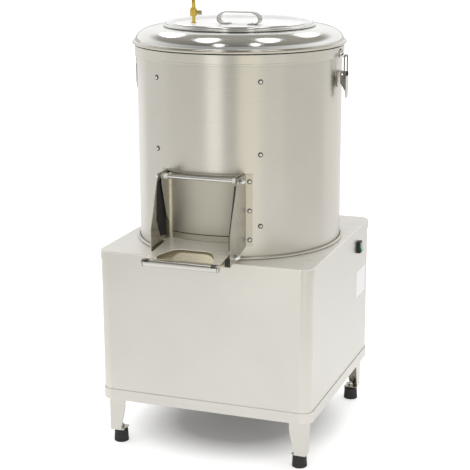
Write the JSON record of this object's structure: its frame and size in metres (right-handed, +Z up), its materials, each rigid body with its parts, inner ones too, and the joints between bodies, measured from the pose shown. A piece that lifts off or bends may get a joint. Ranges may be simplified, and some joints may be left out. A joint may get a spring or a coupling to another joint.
{
  "type": "potato peeler machine",
  "caption": "Floor-standing drum potato peeler: lidded drum with spinning abrasive disc on a belt-driven square cabinet, with discharge chute, door and toggle latches.",
  "frame": {"origin": "on the floor, at the middle of the machine's overall width and depth", "axes": "+Z up along the drum's axis, -Y towards the discharge chute, +X towards the switch"},
  "size_m": [0.607, 0.6824, 1.0691],
  "materials": {
    "cabinet_steel": "brushed stainless sheet",
    "drum_steel": "brushed stainless sheet, grain upright",
    "chute_steel": "brushed stainless sheet",
    "latch_steel": "stainless, lightly polished",
    "polished_steel": "polished stainless",
    "zinc_steel": "dull plated steel",
    "brass": "machined",
    "black_rubber": "matt",
    "nylon": "moulded",
    "black_plastic": "moulded",
    "green_plastic": "translucent moulding",
    "abrasive_disc": "cast, coated with coarse grit",
    "abrasive_sheet": "sheet coated with fine grit",
    "motor_paint": "enamel",
    "cast_iron": "as cast"
  },
  "bodies": {
    "machine": {"abrasive_liner": "abrasive_sheet", "base_frame": "cabinet_steel", "bearing_housing": "cast_iron", "cabinet_shell": "cabinet_steel", "cable_gland": "black_plastic", "chute_lip": "polished_steel", "chute_side_left": "chute_steel", "chute_side_right": "chute_steel", "deck_plate": "cabinet_steel", "drain_collar": "black_rubber", "drain_pipe": "chute_steel", "drum_base_bead": "polished_steel", "drum_floor": "drum_steel", "drum_shell": "drum_steel", "foot_front_left": "black_rubber", "foot_front_right": "black_rubber", "foot_rear_left": "black_rubber", "foot_rear_right": "black_rubber", "latch_base_left": "latch_steel", "latch_base_right": "latch_steel", "leg_front_left": "cabinet_steel", "leg_front_right": "cabinet_steel", "leg_rear_left": "cabinet_steel", "leg_rear_right": "cabinet_steel", "lower_rod": "polished_steel", "lower_rod_nut_left": "polished_steel", "lower_rod_nut_right": "polished_steel", "motor": "motor_paint", "motor_hanger": "zinc_steel", "rear_panel": "cabinet_steel", "spindle_bearing_lower": "polished_steel", "spindle_bearing_upper": "polished_steel", "spindle_seal": "black_rubber", "switch_housing": "black_plastic", "upper_rod": "polished_steel", "upper_rod_nut_left": "polished_steel", "upper_rod_nut_right": "polished_steel", "v_belt": "black_rubber"},
    "lid": {"lid_cover": "polished_steel", "lid_dome": "polished_steel", "lid_handle": "polished_steel", "lid_seal": "black_rubber", "water_valve": "brass", "latch_keeper_left": "polished_steel", "latch_keeper_right": "polished_steel"},
    "tap": {"valve_tap": "zinc_steel"},
    "door": {"door_panel": "chute_steel", "door_tongue": "chute_steel", "door_grip": "polished_steel", "door_bush_left": "nylon", "door_bush_right": "nylon"},
    "rocker": {"switch_rocker": "green_plastic"},
    "rotor": {"peeling_disc": "abrasive_disc", "spindle": "polished_steel", "driven_pulley": "cast_iron"},
    "motor_shaft": {"motor_pulley": "cast_iron"},
    "lever_left": {"latch_lever_left": "latch_steel"},
    "lever_right": {"latch_lever_right": "latch_steel"},
    "bail_left": {"latch_bail_left": "latch_steel"},
    "bail_right": {"latch_bail_right": "latch_steel"}
  },
  "joints": [
    {"name": "lid_lift", "type": "slide", "parent": "machine", "child": "lid", "axis": [0, 0, 1], "range_m": [0, 0.12]},
    {"name": "valve_tap_turn", "type": "hinge", "parent": "lid", "child": "tap", "pos_m": [-0.07671, 0.0563, 1.0276], "axis": [1, 0, 0], "range_deg": [0, 90]},
    {"name": "door_swing", "type": "hinge", "parent": "machine", "child": "door", "pos_m": [0.02849, -0.2077, 0.681], "axis": [-1, 0, 0], "range_deg": [0, 60]},
    {"name": "switch_rock", "type": "hinge", "parent": "machine", "child": "rocker", "pos_m": [0.29499, 0.2058, 0.44], "axis": [0, 1, 0], "range_deg": [0, 20]},
    {"name": "disc_spin", "type": "hinge", "parent": "machine", "child": "rotor", "pos_m": [0.02849, 0.0563, 0.49], "axis": [0, 0, 1], "continuous": true},
    {"name": "motor_spin", "type": "hinge", "parent": "machine", "child": "motor_shaft", "pos_m": [0.02849, 0.2243, 0.35], "axis": [0, 0, 1], "continuous": true},
    {"name": "latch_lever_left_turn", "type": "hinge", "parent": "machine", "child": "lever_left", "pos_m": [-0.22951, 0.0563, 0.8955], "axis": [0, 1, 0], "range_deg": [0, 140]},
    {"name": "latch_lever_right_turn", "type": "hinge", "parent": "machine", "child": "lever_right", "pos_m": [0.28649, 0.0563, 0.8955], "axis": [0, -1, 0], "range_deg": [0, 140]},
    {"name": "latch_bail_left_turn", "type": "hinge", "parent": "lever_left", "child": "bail_left", "pos_m": [-0.23451, 0.0563, 0.8865], "axis": [0, 1, 0], "range_deg": [-140, 0]},
    {"name": "latch_bail_right_turn", "type": "hinge", "parent": "lever_right", "child": "bail_right", "pos_m": [0.29149, 0.0563, 0.8865], "axis": [0, -1, 0], "range_deg": [-140, 0]}
  ],
  "couplings": [
    {"joint": "motor_spin", "follows": "disc_spin", "ratio": 2.5},
    {"joint": "latch_bail_left_turn", "follows": "latch_lever_left_turn", "ratio": -1},
    {"joint": "latch_bail_right_turn", "follows": "latch_lever_right_turn", "ratio": -1}
  ]
}
